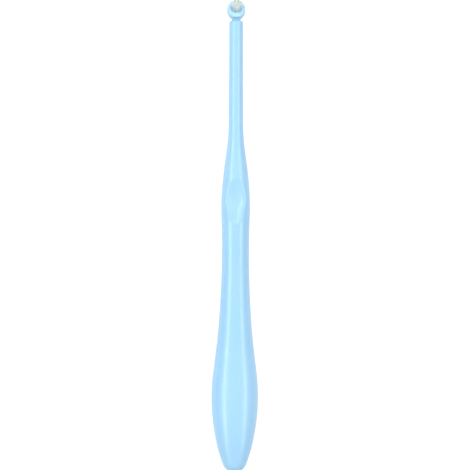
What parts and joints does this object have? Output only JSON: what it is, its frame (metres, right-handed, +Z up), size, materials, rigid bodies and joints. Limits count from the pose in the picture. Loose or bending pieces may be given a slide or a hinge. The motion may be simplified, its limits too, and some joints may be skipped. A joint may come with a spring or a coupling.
{
  "type": "single-tuft toothbrush",
  "caption": "Slim toothbrush with a round end-tuft head plugged into a bent neck, a scooped thumb rest and a drop-shaped grip.",
  "frame": {"origin": "bottom centre of the brush's bounding box, on the surface that the brush lies on", "axes": "+X across the brush, +Y from the butt of the grip towards the head, +Z up, the side that the tuft and the thumb rest face"},
  "size_m": [0.0158, 0.1605, 0.0124],
  "materials": {
    "handle_plastic": "moulded polypropylene, pale sky blue, satin gloss",
    "head_plastic": "moulded polypropylene, paler blue, satin gloss",
    "anchor_metal": "flat drawn wire, bright",
    "bristle_nylon": "nylon filament, undyed greyish ivory, end-rounded"
  },
  "bodies": {
    "grip": {"handle": "handle_plastic"},
    "plug_in_head": {"brush_head": "head_plastic", "tuft_anchor": "anchor_metal", "bristle_tuft": "bristle_nylon"}
  },
  "joints": [
    {"name": "head_slide", "type": "slide", "parent": "grip", "child": "plug_in_head", "axis": [0, 0.9997, -0.0225], "range_m": [0, 0.012]}
  ]
}
